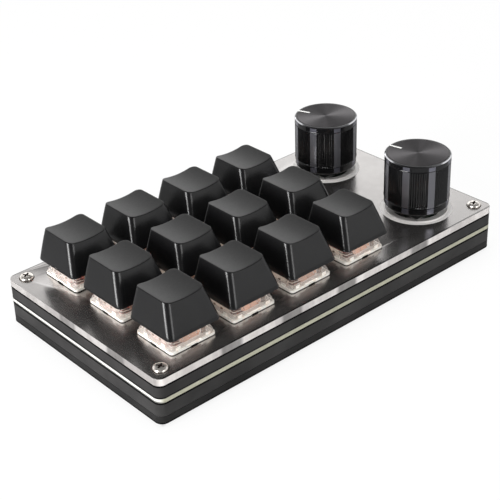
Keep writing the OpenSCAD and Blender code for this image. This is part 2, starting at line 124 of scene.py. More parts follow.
def vector_calc(tree, op, *values):
    """One step of vector arithmetic. A length or a dot product comes as a number."""
    node = tree.nodes.new("ShaderNodeVectorMath")
    node.operation = op
    for value, socket in zip(values, node.inputs):
        connect(tree, value, socket)
    return node.outputs["Value" if op in ("LENGTH", "DOT_PRODUCT") else "Vector"]


def split(tree, vec):
    """The X, Y and Z of a vector."""
    node = tree.nodes.new("ShaderNodeSeparateXYZ")
    tree.links.new(vec, node.inputs["Vector"])
    return node.outputs


def coords(tree):
    return tree.nodes.new("ShaderNodeTexCoord").outputs["Object"]


def geometry(tree, output):
    return tree.nodes.new("ShaderNodeNewGeometry").outputs[output]


def noise(tree, scale, detail=2.0, rough=0.5, stretch=None):
    """A noise texture over object coordinates, its scale in features per metre."""
    vec = coords(tree)
    if stretch:
        mapping = tree.nodes.new("ShaderNodeMapping")
        feed(tree, mapping, Vector=vec, Scale=stretch)
        vec = mapping.outputs["Vector"]
    node = tree.nodes.new("ShaderNodeTexNoise")
    feed(tree, node, Vector=vec, Scale=scale, Detail=detail, Roughness=rough)
    return node.outputs["Fac"]


def ramp(tree, fac, stops):
    node = tree.nodes.new("ShaderNodeValToRGB")
    elements = node.color_ramp.elements
    while len(elements) < len(stops):
        elements.new(0.5)
    for element, (position, colour) in zip(elements, stops):
        element.position = position
        element.color = (*colour, 1)
    tree.links.new(fac, node.inputs["Fac"])
    return node.outputs["Color"]


def remap(tree, fac, low, high, a=0.0, b=1.0):
    """Takes a to low and b to high, and holds those beyond."""
    node = tree.nodes.new("ShaderNodeMapRange")
    feed(tree, node, Value=fac, From_Min=a, From_Max=b, To_Min=low, To_Max=high)
    return node.outputs["Result"]


# A noise texture stays mostly between these
NOISE_LOW, NOISE_HIGH = 0.3, 0.7


def uneven(tree, fac, low, high):
    """Spreads a noise over two numbers."""
    return remap(tree, fac, low, high, NOISE_LOW, NOISE_HIGH)


def mottled(tree, fac, low, high):
    """Spreads a noise over two colours."""
    return ramp(tree, fac, [(NOISE_LOW, low), (NOISE_HIGH, high)])


def mix_numbers(tree, fac, a, b):
    node = tree.nodes.new("ShaderNodeMix")
    for value, socket in ((fac, 0), (a, 2), (b, 3)):
        connect(tree, value, node.inputs[socket])
    return node.outputs[0]


def mix_colours(tree, fac, a, b, blend="MIX"):
    node = tree.nodes.new("ShaderNodeMix")
    node.data_type = "RGBA"
    node.blend_type = blend
    for value, socket in ((fac, 0), (a, 6), (b, 7)):
        connect(tree, value, node.inputs[socket])
    return node.outputs[2]


def bump(tree, bsdf, height, strength, distance):
    """Roughens a surface by a height pattern. The distance is in metres."""
    node = tree.nodes.new("ShaderNodeBump")
    feed(tree, node, Strength=strength, Distance=distance, Height=height)
    tree.links.new(node.outputs["Normal"], bsdf.inputs["Normal"])


# Materials

def plain(name, colour, rough, metal=0.0, vary=0.12, grain=(2500, 0.00001), rough_vary=0.06,
          specular=0.5, coat=0.0, stretch=None):
    """A moulded or machined surface: slight colour drift, uneven gloss and a fine grain, which is
    given by the scale of its noise and its depth in metres."""
    m, tree, bsdf = new_material(name)
    low = tuple(max(0.0, c*(1 - vary)) for c in colour)
    high = tuple(min(1.0, c*(1 + vary)) for c in colour)
    drift = mottled(tree, noise(tree, 90, 3, stretch=stretch), low, high)
    gloss = noise(tree, 220, 4, 0.6, stretch=stretch)
    gloss = remap(tree, gloss, rough - rough_vary, rough + rough_vary, 0.25, 0.75)
    feed(tree, bsdf, Base_Color=drift, Roughness=gloss, Metallic=metal, Specular_IOR_Level=specular,
         Coat_Weight=coat)
    grain_scale, grain_depth = grain
    bump(tree, bsdf, noise(tree, grain_scale, 2, 0.5, stretch=stretch), 0.5, grain_depth)
    return m


def keycap_material():
    """Black plastic, grained and a little paler on the caps' tops, partly from their grain and partly as
    painted light from above, glossier on their walls.
    """
    m, tree, bsdf = new_material("keycap_plastic")
    wall = mottled(tree, noise(tree, 120, 3), (0.006, 0.006, 0.0064), (0.008, 0.008, 0.0084))
    # The tops' paler colour is partly their grain and partly painted light from above
    top = mottled(tree, noise(tree, 1500, 4, 0.7), (0.012, 0.012, 0.012), (0.022, 0.022, 0.022))
    up = remap(tree, split(tree, geometry(tree, "Normal"))["Z"], 0, 1, 0.80, 0.93)
    wall_gloss = uneven(tree, noise(tree, 400, 3), 0.21, 0.26)
    top_gloss = uneven(tree, noise(tree, 2600, 3, 0.7), 0.38, 0.48)
    feed(tree, bsdf, Base_Color=mix_colours(tree, up, wall, top),
         Roughness=mix_numbers(tree, up, wall_gloss, top_gloss), Specular_IOR_Level=0.38)
    bump(tree, bsdf, noise(tree, 3000, 2, 0.6), 0.35, 0.00003)
    return m


# Painted light and shade on the plate's cut edge: bright stretches, with painted dim ones between them.
# Along the plate's cut edge: where its dim stretches have their middles, half the length of one, and
# the length over which it fades. The places suit the photo's slanting view: all but the last of the
# long sides' lie a little off the gaps between the switches, to the left or towards the front.
LONG_PAINTED_DIM_AT = (-42.0, -19.7, 2.0, 33.0)
SHORT_PAINTED_DIM_AT = (-17.5, 5.0)
DIM_HALF = 3.2
DIM_FADE = 1.1
# Painted dark lines inside the plate's front, back and right edges, standing in for the sheet's own wall seen
# through it: where each starts and ends from that edge, as the four ends of its two fades. Two of them run
# out past the edge.
PAINTED_WALL_LINES = (("Y", -PLATE_Y, (0.15, 0.25, 0.55, 0.70)),
               ("Y", PLATE_Y, (-0.40, -0.30, 0.75, 0.85)),
               ("X", PLATE_X, (-0.40, -0.30, 0.75, 0.85)))


def painted_edge_light(tree, along, half, dim_at, dim, bright):
    """Painted light and shade along a cut edge that runs from -half to half."""
    stops = []
    for middle in dim_at:
        stops += [(middle - DIM_HALF - DIM_FADE, bright), (middle - DIM_HALF, dim),
                  (middle + DIM_HALF, dim), (middle + DIM_HALF + DIM_FADE, bright)]
    place = remap(tree, along, 0, 1, -half*MM, half*MM)
    return ramp(tree, place, [((at + half)/(2*half), (value, value, value)) for at, value in stops])


def painted_wall_line(tree, where):
    """1 on the painted dark lines that stand for the sheet's own wall seen through it, and 0 elsewhere."""
    line = None
    for axis, start, (grow_from, grow_to, fade_from, fade_to) in PAINTED_WALL_LINES:
        grow = remap(tree, where[axis], 0, 1, (start + grow_from)*MM, (start + grow_to)*MM)
        fade = remap(tree, where[axis], 1, 0, (start + fade_from)*MM, (start + fade_to)*MM)
        one = calc(tree, "MULTIPLY", grow, fade)
        line = one if line is None else calc(tree, "MAXIMUM", line, one)
    return line


def plate_material():
    """Clear sheet that looks like satin metal from above, frosted along its cut edges with painted bright and
    dim stretches there, and painted dark lines inside three of its edges.
    """
    m, tree, bsdf = new_material("clear_plate")
    normal = split(tree, geometry(tree, "True Normal"))
    where = split(tree, coords(tree))
    up = remap(tree, normal["Z"], 0, 1, 0.30, 0.60)
    high = remap(tree, where["Z"], 0, 1, (PLATE_TOP - 0.27)*MM, (PLATE_TOP - 0.24)*MM)
    face = calc(tree, "MULTIPLY", up, high)
    top = mottled(tree, noise(tree, 60, 3), (0.44, 0.423, 0.412), (0.485, 0.467, 0.456))
    short_side = remap(tree, calc(tree, "ABSOLUTE", normal["X"]), 0, 1, 0.55, 0.85)
    # Painted light and shade along the cut edges, from the stretches above
    light = mix_colours(tree, short_side,
                        painted_edge_light(tree, where["X"], PLATE_X, LONG_PAINTED_DIM_AT, 0.66, 1.85),
                        painted_edge_light(tree, where["Y"], PLATE_Y, SHORT_PAINTED_DIM_AT, 0.50, 1.02))
    frost = ramp(tree, noise(tree, 130, 4, 0.6, stretch=(1, 1, 0.2)),
                 [(0.40, (0.28, 0.262, 0.255)), (0.5, (0.34, 0.32, 0.31)), (0.62, (0.42, 0.40, 0.39))])
    edge = mix_colours(tree, up, mix_colours(tree, 1.0, frost, light, "MULTIPLY"), (0.95, 0.93, 0.91, 1))
    # The painted dark lines darken the top face where the sheet's own wall would show through
    shade = calc(tree, "MULTIPLY", face, remap(tree, painted_wall_line(tree, where), 0.0, 0.8))
    colour = mix_colours(tree, shade, mix_colours(tree, face, edge, top), (0.03, 0.03, 0.03, 1))
    feed(tree, bsdf, Base_Color=colour, Metallic=remap(tree, face, 0.0, 0.96),
         Roughness=uneven(tree, noise(tree, 300, 3), 0.21, 0.26), Coat_Weight=0.5, Coat_Roughness=0.24)
    bump(tree, bsdf, noise(tree, 900, 2), 0.05, 0.000004)
    return m


# The board's bare edge: the middle of what shows on the short sides, and where the mask starts and
# is full, from that middle
BAND_MIDDLE = 9.22
MASK_FROM, MASK_FULL = 0.34, 0.44


def board_band_material():
    """The bare laminate of the board's edge: paler on the short sides, glass weave showing."""
    m, tree, bsdf = new_material("board_band")
    side = calc(tree, "ABSOLUTE", split(tree, geometry(tree, "True Normal"))["X"])
    weave = noise(tree, 900, 3, stretch=(1, 1, 5))
    laminate = mix_colours(tree, remap(tree, side, 0, 1, 0.3, 0.8),
                           mottled(tree, weave, (0.33, 0.325, 0.24), (0.47, 0.46, 0.36)),
                           mottled(tree, weave, (0.62, 0.61, 0.57), (0.74, 0.73, 0.69)))
    # The mask laps over the edge on the short sides
    away = calc(tree, "ABSOLUTE", calc(tree, "SUBTRACT", split(tree, coords(tree))["Z"], BAND_MIDDLE*MM))
    lap = calc(tree, "MULTIPLY", remap(tree, away, 0.0, 0.93, MASK_FROM*MM, MASK_FULL*MM), side)
    feed(tree, bsdf, Base_Color=mix_colours(tree, lap, laminate, (0.03, 0.03, 0.03, 1)), Roughness=0.45)
    return m


def clear_material(name, colour, rough, alpha, blend, glow=0.0):
    """Clear moulding: part of the light goes straight through, the rest shows as pale plastic."""
    m, tree, bsdf = new_material(name)
    thick = tuple(c*k for c, k in zip(colour, (0.93, 0.86, 0.82)))
    rim = tree.nodes.new("ShaderNodeLayerWeight")
    feed(tree, rim, Blend=blend)
    feed(tree, bsdf,
         Base_Color=ramp(tree, noise(tree, 700, 3, stretch=(1, 1, 0.25)), [(0.35, thick), (0.5, colour)]),
         Roughness=uneven(tree, noise(tree, 900, 2), rough*0.7, rough*1.3),
         Alpha=remap(tree, rim.outputs["Facing"], alpha, 1.0))
    # Painted glow: an emission that stands in for light the clear plastic carries inside itself
    feed(tree, bsdf, Emission_Color=(1.0, 0.92, 0.80, 1), Emission_Strength=glow)
    return m


def knob_material():
    """Black lacquer with faint upright streaks."""
    m, tree, bsdf = new_material("knob_black")
    drift = noise(tree, 150, 3, stretch=(1, 1, 0.1))
    streaks = noise(tree, 900, 3, stretch=(1, 1, 0.05))
    feed(tree, bsdf, Base_Color=mottled(tree, drift, (0.004, 0.004, 0.0045), (0.007, 0.007, 0.0075)),
         Roughness=uneven(tree, streaks, 0.12, 0.18), Specular_IOR_Level=0.40)
    return m


def disc_material(name):
    """Turned metal: fine rings round the disc's middle, and highlights that run out from it."""
    m, tree, bsdf = new_material(name)
    out = vector_calc(tree, "MULTIPLY", coords(tree), (1, 1, 0))
    rings = tree.nodes.new("ShaderNodeTexNoise")
    rings.noise_dimensions = "1D"
    feed(tree, rings, W=vector_calc(tree, "LENGTH", out), Scale=9000)
    colour = mottled(tree, rings.outputs["Fac"], (0.026, 0.0235, 0.0255), (0.084, 0.077, 0.082))
    feed(tree, bsdf, Base_Color=colour, Metallic=1.0, Roughness=0.33, Anisotropic=0.98,
         Tangent=vector_calc(tree, "NORMALIZE", out))
    return m


def layer(name, colour):
    """A black sheet of the case."""
    return plain(name, colour, 0.42, vary=0.3, grain=(1800, 0.00002), specular=0.20)


def polished(name, colour, rough):
    """Bright metal with hardly any drift."""
    return plain(name, colour, rough, metal=0.6, vary=0.08, grain=(3000, 0.000004), rough_vary=0.04)


M_FRAME = layer("black_layer", (0.027, 0.026, 0.026))
M_LOWER = layer("lower_layer", (0.031, 0.030, 0.030))
# The base is darker than the frames: painted shade towards the bottom of the case
M_BASE_SHADED = layer("base_layer_painted_shade", (0.014, 0.0135, 0.0135))
# Black for dark joints between layers, and for painted shade and shadow
M_JOINT_AND_SHADE = plain("joint_black_and_painted_shade", (0.003, 0.003, 0.003), 0.6, vary=0.3, grain=(2500, 0.00002), specular=0.06)
M_NICKEL = plain("nickel", (0.90, 0.85, 0.80), 0.20, metal=0.92, grain=(1500, 0.00001))
M_SCREW = plain("screw_nickel", (0.90, 0.85, 0.79), 0.30, metal=0.92, grain=(1500, 0.00001))
# Painted shade in the screws' recesses and painted shadow round their heads
M_RECESS_SHADE = plain("screw_recess_painted_shade", (0.030, 0.020, 0.016), 0.6, metal=0.3)
M_RUBBER = plain("rubber_foot", (0.03, 0.03, 0.03), 0.8, grain=(3000, 0.00004))
M_EPOXY = plain("black_epoxy", (0.02, 0.02, 0.02), 0.5)
M_STEEL = plain("shell_steel", (0.6, 0.6, 0.6), 0.3, metal=1.0)
M_COPPER = plain("contact_copper", (0.80, 0.38, 0.22), 0.3, metal=1.0)
M_ENC = plain("encoder_plastic", (0.03, 0.05, 0.035), 0.5)
M_ENC_METAL = plain("encoder_metal", (0.62, 0.62, 0.62), 0.3, metal=1.0)
M_STEM = plain("stem_plastic", (0.55, 0.07, 0.04), 0.3)
M_SPRING = plain("spring_wire", (0.6, 0.6, 0.6), 0.25, metal=1.0)
M_PLUNGER = plain("plunger_plastic", (0.75, 0.7, 0.6), 0.5)
M_CAP = keycap_material()
M_PLATE = plate_material()
M_BOARD = plain("board_mask", (0.012, 0.012, 0.013), 0.35, grain=(900, 0.00002))
M_BAND = board_band_material()
# The switch bases get a painted glow, an emission for light carried inside them
M_SW_BASE = clear_material("switch_base_clear", (0.99, 0.96, 0.91), 0.25, 0.92, 0.35, glow=0.13)
M_HOOD = clear_material("switch_hood_clear", (0.99, 0.94, 0.90), 0.10, 0.06, 0.22)
M_KNOB = knob_material()
M_CHAMFER = plain("cut_chamfer", (0.7, 0.7, 0.73), 0.14, metal=1.0, vary=0.03, grain=(4000, 0.000004),
                  rough_vary=0.03)
# Knob lands: polished, paler partly as painted sheen; their runs on the band and foot ring are painted
# highlights
M_LAND_POLISH_AND_SHEEN = polished("polished_land_and_painted_sheen", (0.15, 0.15, 0.165), 0.22)
M_PAINTED_GLINT = polished("painted_glint_band", (0.16, 0.16, 0.19), 0.24)
M_PAINT = plain("index_paint", (0.86, 0.86, 0.84), 0.45, vary=0.03, grain=(6000, 0.00001))
M_RING = plain("pale_ring", (0.74, 0.72, 0.70), 0.35, vary=0.04, grain=(2000, 0.00001), coat=0.3)
M_LEAF = plain("leaf_copper", (0.80, 0.44, 0.29), 0.34, metal=0.45, vary=0.22, stretch=(1, 1, 0.15))
M_WIRE = plain("wire_copper", (0.10, 0.028, 0.016), 0.35, metal=0.4, vary=0.2)
M_FEET = plain("lamp_feet", (0.22, 0.13, 0.08), 0.5, vary=0.2)


def dress(node, material):
    ob = NODES[node]
    if not ob.material_slots:
        ob.data.materials.append(material)
    for s in ob.material_slots:
        s.material = material


# The CAD nodes that stay, or that softened() copies
for name, material in {
    "base_plate": M_BASE_SHADED, "lower_frame": M_LOWER, "upper_frame": M_FRAME,
    "circuit_board": M_BOARD, "top_plate": M_PLATE, "case_nuts": M_NICKEL,
    "rubber_feet": M_RUBBER, "board_parts": M_EPOXY, "usb_socket": M_STEEL,
    "switch_bases": M_SW_BASE, "switch_contacts": M_COPPER, "encoder_housings": M_ENC,
    "encoder_bushes": M_ENC_METAL, "encoder_pins": M_STEEL,
}.items():
    dress(name, material)
for k in KNOBS:
    dress(f"plunger_{k}", M_PLUNGER)
    dress(f"shaft_{k}", M_ENC_METAL)
for q in KEYS:
    dress(f"stem_{q}", M_STEM)


# Shapes

# Edges sharper than this many degrees are rounded, and points closer than this in metres are joined
BEVEL_ANGLE, WELD = 40, 1e-7


def outline(hx, hy, r, per_corner, per_side):
    """A rounded rectangle, counter-clockwise, with the given number of spans a corner and a side."""
    pts = []
    corners = ((1, 1, 0), (-1, 1, 90), (-1, -1, 180), (1, -1, 270))
    for i, (sx, sy, a0) in enumerate(corners):
        cx, cy = sx*(hx - r), sy*(hy - r)
        for k in range(per_corner + 1):
            a = math.radians(a0 + 90*k/per_corner)
            pts.append((cx + r*math.cos(a), cy + r*math.sin(a)))
        nx, ny, _ = corners[(i + 1) % 4]
        a = math.radians(a0 + 90)
        p = pts[-1]
        q = (nx*(hx - r) + r*math.cos(a), ny*(hy - r) + r*math.sin(a))
        for k in range(1, per_side):
            pts.append((p[0] + (q[0] - p[0])*k/per_side, p[1] + (q[1] - p[1])*k/per_side))
    return pts


def circle(r, n, cx=0.0, cy=0.0):
    return [(cx + r*math.cos(2*math.pi*i/n), cy + r*math.sin(2*math.pi*i/n)) for i in range(n)]


def lifted(pts, z):
    """A flat outline at a height."""
    return [(x, y, z) for x, y in pts]


def filled(loops):
    """The flat area between an outer loop and its holes: its points and its faces, seen from above."""
    bm = bmesh.new()
    edges = []
    for loop in loops:
        vs = [bm.verts.new((x, y, 0)) for x, y in loop]
        edges += [bm.edges.new((vs[i], vs[(i + 1) % len(vs)])) for i in range(len(vs))]
    bmesh.ops.triangle_fill(bm, edges=edges, use_beauty=True, use_dissolve=False)
    bm.verts.index_update()
    pts = [(v.co.x, v.co.y) for v in bm.verts]
    faces = []
    for f in bm.faces:
        idx = [v.index for v in f.verts]
        faces.append(idx[::-1] if f.normal.z < 0 else idx)
    bm.free()
    return pts, faces


def new_object(name, data, at=(0, 0, 0)):
    """An object in the scene, at a place in metres."""
    ob = bpy.data.objects.new(name, data)
    bpy.context.scene.collection.objects.link(ob)
    ob.location = at
    return ob


class Shape:
    """Collects points and faces, then makes one object."""

    def __init__(self):
        self.verts, self.faces, self.mats = [], [], []

    def add(self, pts):
        n = len(self.verts)
        self.verts += [tuple(c*MM for c in p) for p in pts]
        return list(range(n, n + len(pts)))

    def face(self, idx, mat=0):
        self.faces.append(tuple(idx))
        self.mats.append(mat)

    def bridge(self, a, b, mat=0):
        for i in range(len(a)):
            j = (i + 1) % len(a)
            self.face((a[i], a[j], b[j], b[i]), mat)

    def loft(self, rings, mat=0, first=None, last=None):
        """Walls through the rings. An end is open, flat, or drawn to a point."""
        ids = [self.add(r) for r in rings]
        for a, b in zip(ids, ids[1:]):
            self.bridge(a, b, mat)
        for end, ring, flip in ((first, ids[0], True), (last, ids[-1], False)):
            if end == "flat":
                self.face(ring[::-1] if flip else ring, mat)
            elif end is not None:
                c = self.add([end])[0]
                for i in range(len(ring)):
                    j = (i + 1) % len(ring)
                    self.face((c, ring[j], ring[i]) if flip else (c, ring[i], ring[j]), mat)

    def lathe(self, profile, n=96, mat=0, cx=0.0, cy=0.0):
        """Turns (r, z) points round the z axis. A point with r = 0 closes the end."""
        rings = [self.add(lifted(circle(r, n, cx, cy), z) if r else [(cx, cy, z)]) for r, z in profile]
        for a, b in zip(rings, rings[1:]):
            for i in range(n):
                j = (i + 1) % n
                if len(a) == 1:
                    self.face((a[0], b[j], b[i]), mat)
                elif len(b) == 1:
                    self.face((a[i], a[j], b[0]), mat)
                else:
                    self.face((a[i], a[j], b[j], b[i]), mat)

    def box(self, x0, y0, z0, x1, y1, z1, mat=0):
        v = self.add([(x, y, z) for z in (z0, z1) for y in (y0, y1) for x in (x0, x1)])
        for f in ((0, 2, 3, 1), (4, 5, 7, 6), (0, 1, 5, 4), (2, 6, 7, 3), (0, 4, 6, 2), (1, 3, 7, 5)):
            self.face([v[i] for i in f], mat)

    def tube(self, pts, r, mat=0, n=8):
        """A round wire through the given points."""
        pts = [Vector(p) for p in pts]
        rings = []
        side = None
        for i, p in enumerate(pts):
            d = (pts[min(i + 1, len(pts) - 1)] - pts[max(i - 1, 0)]).normalized()
            if side is None:
                side = d.orthogonal().normalized()
            side = (side - d*side.dot(d)).normalized()
            up = d.cross(side)
            rings.append([p + side*dx + up*dy for dx, dy in circle(r, n)])
        self.loft(rings, mat, first="flat", last="flat")

    def prism(self, loops, z0, z1, mat=0):
        """Walls and ends between an outer loop and its holes."""
        pts, faces = filled(loops)
        low, high = self.add(lifted(pts, z0)), self.add(lifted(pts, z1))
        for idx in faces:
            self.face([high[i] for i in idx], mat)
            self.face([low[i] for i in idx[::-1]], mat)
        start = 0
        for loop in loops:
            end = start + len(loop)
            self.bridge(low[start:end], high[start:end], mat)
            start = end

    def make(self, name, *materials, sharp, bevel=None, at=(0, 0, 0)):
        """Joins doubled points and turns the faces outwards. Materials go by the faces' numbers."""
        me = bpy.data.meshes.new(name)
        me.from_pydata(self.verts, [], self.faces)
        for m in materials:
            me.materials.append(m)
        me.polygons.foreach_set("material_index", self.mats)
        bm = bmesh.new()
        bm.from_mesh(me)
        bmesh.ops.remove_doubles(bm, verts=bm.verts, dist=WELD)
        bmesh.ops.recalc_face_normals(bm, faces=bm.faces)
        bm.to_mesh(me)
        bm.free()
        ob = new_object(name, me, [c*MM for c in at])
        finish_mesh(ob, sharp, bevel)
        return ob


def finish_mesh(ob, sharp, bevel=None, segments=2):
    """Smooth shading with sharp edges kept, and a rounded edge where a width is given."""
    me = ob.data
    me.polygons.foreach_set("use_smooth", [True]*len(me.polygons))
    me.set_sharp_from_angle(angle=math.radians(sharp))
    if bevel:
        mod = ob.modifiers.new("edge", "BEVEL")
        mod.width = bevel*MM
        mod.segments = segments
        mod.limit_method = "ANGLE"
        mod.angle_limit = math.radians(BEVEL_ANGLE)
        mod.harden_normals = True
        mod.miter_outer = "MITER_ARC"


def place(ob, body, slot=None, node=None):
    """Fixes a piece to its body and lets it stand in for a CAD node. The slot is not used."""
    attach(ob, body)
    if node:
        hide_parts(node)


def softened(node, body, width, segments=2):
    """A copy of a CAD node with its faces joined up and its edges broken, in place of it."""
    me = NODES[node].data.copy()
    me.name = f"{node}_soft"
    bm = bmesh.new()
    bm.from_mesh(me)
    bmesh.ops.remove_doubles(bm, verts=bm.verts, dist=2*WELD)
    bmesh.ops.dissolve_limit(bm, angle_limit=math.radians(0.5), verts=bm.verts, edges=bm.edges)
    bm.to_mesh(me)
    bm.free()
    ob = new_object(f"{node}_soft", me)
    finish_mesh(ob, 30, width, segments)
    place(ob, body, node=node)


# Keycaps

CAP_LOW, CAP_TOP = mid(f"keycap_{KEYS[0]}")[2:]
CAP_H = CAP_TOP - CAP_LOW
# Width at the foot, width and depth at the top, and how far the top leans back
CAP_W, CAP_TW, CAP_TD, CAP_SHIFT = 18.3, 13.5, 13.6, 1.5
# Depth of the dish, corner radii at foot and top, and the wall
CAP_DISH, CAP_R, CAP_TR, CAP_WALL = 0.9, 1.85, 2.0, 1.15
# Width of the flat lower lip and of its broken edge, how far the walls swell between foot and top,
# and how far in the dish starts
CAP_LIP, LIP_EDGE, CAP_BELLY, DISH_INSET = 0.22, 0.07, 0.10, 0.28
# The walls run from 0 at the foot to 1 at the top: where they start, and the share of the rounded edge
WALL_START, WALL_EDGE, WALL_STEPS = 0.022, 0.030, 9
CAP_ROOF = CAP_H - CAP_DISH - 1.4
# The socket: its boss, and half the length and width of its cross
BOSS_R, BOSS_H, CROSS_A, CROSS_B = 2.75, CAP_H - 8.3, 2.05, 0.65
# The ribs that hold it: half their width, where they start and how far each reaches
RIB_HALF, RIB_START, RIB_H = 0.45, 2.6, CAP_H - 3.8
RIB_SIDE, RIB_BACK, RIB_FRONT = 6.6, 7.6, 5.5


def cap_outline(t, inset=0.0):
    """The cap's outline at a share t of its height, drawn in by an inset."""
    hx = (CAP_W + (CAP_TW - CAP_W)*t)/2 - inset
    hy = (CAP_W + (CAP_TD - CAP_W)*t)/2 - inset
    r = max(0.4, CAP_R + (CAP_TR - CAP_R)*t - inset*0.8)
    return [(x, y + CAP_SHIFT*t) for x, y in outline(hx, hy, r, 10, 10)]


def cap_dish(x):
    """Height of the dished top at a place across it."""
    return CAP_H - CAP_DISH*(1 - min(1.0, (x/(CAP_TW/2))**2))


def cap_shape():
    """A keycap about its own middle, its lower edge at 0."""
    s = Shape()
    foot, top = cap_outline(0.0), cap_outline(1.0)

    def wall(i, t):
        """A point up the wall, whose top follows the dish."""
        (fx, fy), (tx, ty) = foot[i], top[i]
        x, y = fx + (tx - fx)*t, fy + (ty - fy)*t
        cy = CAP_SHIFT*t
        belly = CAP_BELLY*math.sin(math.pi*t)
        length = math.hypot(x, y - cy) or 1.0
        return (x + belly*x/length, y + belly*(y - cy)/length, cap_dish(tx)*t)

    rings = [lifted(cap_outline(0.0, CAP_LIP), 0), lifted(cap_outline(0.0, LIP_EDGE), LIP_EDGE)]
    for k in range(WALL_STEPS):
        t = WALL_START + (1 - WALL_EDGE - WALL_START)*k/(WALL_STEPS - 1)
        rings.append([wall(i, t) for i in range(len(top))])
    # The rounded upper edge bends from the wall to the dish
    inner = cap_outline(1.0, DISH_INSET)
    for u in (0.2, 0.4, 0.6, 0.8):
        ring = []
        for i, (x, y) in enumerate(inner):
            a = wall(i, 1 - WALL_EDGE)
            b = (x, y, cap_dish(x))
            c = (*top[i], cap_dish(top[i][0]))
            ring.append(tuple((1 - u)**2*a[k] + 2*u*(1 - u)*c[k] + u*u*b[k] for k in range(3)))
        rings.append(ring)
    for f in (1.0, 0.93, 0.84, 0.72, 0.58, 0.42, 0.26, 0.12):
        rings.append([(x*f, CAP_SHIFT + (y - CAP_SHIFT)*f, cap_dish(x*f)) for x, y in inner])
    s.loft(rings, last=(0, CAP_SHIFT, cap_dish(0)))
    # Inside
    inside = [lifted(cap_outline(0.0, CAP_LIP), 0), lifted(cap_outline(0.0, CAP_WALL), 0.1)]
    inside += [lifted(cap_outline(t, CAP_WALL), t*CAP_H) for t in (0.2, 0.4, 0.6)]
    inside.append(lifted(cap_outline(CAP_ROOF/CAP_H, CAP_WALL + 0.3), CAP_ROOF))
    s.loft(inside, last=(0, CAP_SHIFT*CAP_ROOF/CAP_H, CAP_ROOF))
    # Boss with its cross slot, and the ribs that hold it
    a, b = CROSS_A, CROSS_B
    cross = [(a, b), (b, b), (b, a), (-b, a), (-b, b), (-a, b),
             (-a, -b), (-b, -b), (-b, -a), (b, -a), (b, -b), (a, -b)]
    s.prism([circle(BOSS_R, 48), cross], BOSS_H, CAP_ROOF + 0.02)
    h = RIB_HALF
    for x0, y0, x1, y1 in ((RIB_START, -h, RIB_SIDE, h), (-RIB_SIDE, -h, -RIB_START, h),
                           (-h, RIB_START, h, RIB_BACK), (-h, -RIB_FRONT, h, -RIB_START)):
        s.box(x0, y0, RIB_H, x1, y1, CAP_ROOF + 0.02)
    return s


cap_mesh = None
for q in KEYS:
    x, y, z0, _ = mid(f"keycap_{q}")
    if cap_mesh is None:
        ob = cap_shape().make(f"cap_{q}", M_CAP, sharp=38, at=(x, y, z0))
        cap_mesh = ob.data
    else:
        ob = new_object(f"cap_{q}", cap_mesh, (x*MM, y*MM, z0*MM))
    place(ob, f"key_{q}", "keycap_black", f"keycap_{q}")


# Springs: closer to round than the frame's wire

COILS, COIL_STEPS, COIL_R, WIRE_R = 6, 28, 2.05, 0.18
# The share of a spring's rise that is even from end to end
EVEN_RISE = 0.75


def spring_shape(z0, z1):
    """A helix whose coils lie closer together towards both ends."""
    low, high = z0 + WIRE_R, z1 - WIRE_R
    rings = []
    for i in range(COILS*COIL_STEPS + 1):
        t = i/(COILS*COIL_STEPS)
        a = 2*math.pi*COILS*t
        z = low + (high - low)*(EVEN_RISE*t + (1 - EVEN_RISE)*(1 - math.cos(math.pi*t))/2)
        rings.append([(r*math.cos(a), r*math.sin(a), z + dz) for r, dz in circle(WIRE_R, 8, COIL_R)])
    s = Shape()
    s.loft(rings, first="flat", last="flat")
    return s


for q in KEYS:
    x, y, z0, z1 = mid(f"spring_{q}")
    ob = spring_shape(z0, z1).make(f"coil_{q}", M_SPRING, sharp=60, at=(x, y, 0))
    place(ob, "case", "spring_wire", f"spring_{q}")
    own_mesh(ob)


# Knobs

# Radii of the bore, the hub's end, the foot ring, the ribbed body and the rim, and the bore's depth
BORE_R, HUB_R, KNOB_FOOT, KNOB_BODY, KNOB_R = 3.7, 4.6, 10.12, 10.30, 10.25
BORE_DEEP = 6.5
# How far the skirt ends above the hub, and the heights of the foot ring and of the smooth band
KNOB_LIFT, FOOT_H, BAND_H = 1.1, 2.5, 1.9
# Ribbed panels round the body: how many, degrees across one, and the spans of the land between two
PANELS, PANEL_A, LAND_SPANS = 8, 32.5, 5
# Ribs in a panel: how many, spans across one, the depths of the panel and of a groove, and the power
# that shapes a groove
RIBS, RIB_SPANS, PANEL_DEEP, RIB_DEEP, GROOVE_POWER = 8, 6, 0.10, 0.20, 0.8
PANEL_SPANS = RIBS*RIB_SPANS
# How far the disc and its seat keep from the rim's edge, and how deep the seat is
DISC_INSET, SEAT_INSET, SEAT_DEEP = 0.72, 0.7, 1.2
# The index line: from where to where along the radius, measured in from the rim, and half its width
LINE_OUT, LINE_IN, LINE_HALF = 0.25, 4.5, 0.36
# Which way the index lines and the panels point, in degrees
INDEX_TURN = {1: 102.0, 2: 111.0}
BODY_TURN = 111.5
# Materials on a knob, by their numbers
BLACK, CHAMFER, LAND_POLISH_AND_SHEEN, PAINTED_GLINT = range(4)


def knob_angles():
    """Angles round the knob in degrees, each with its place in its panel, or None on a land."""
    land_a = 360/PANELS - PANEL_A
    angles = []
    for k in range(PANELS):
        middle = 360*(k + 0.5)/PANELS
        angles += [(middle - PANEL_A/2 + PANEL_A*i/PANEL_SPANS, i) for i in range(PANEL_SPANS + 1)]
        angles += [(middle + PANEL_A/2 + land_a*i/(LAND_SPANS + 1), None) for i in range(1, LAND_SPANS + 1)]
    return angles


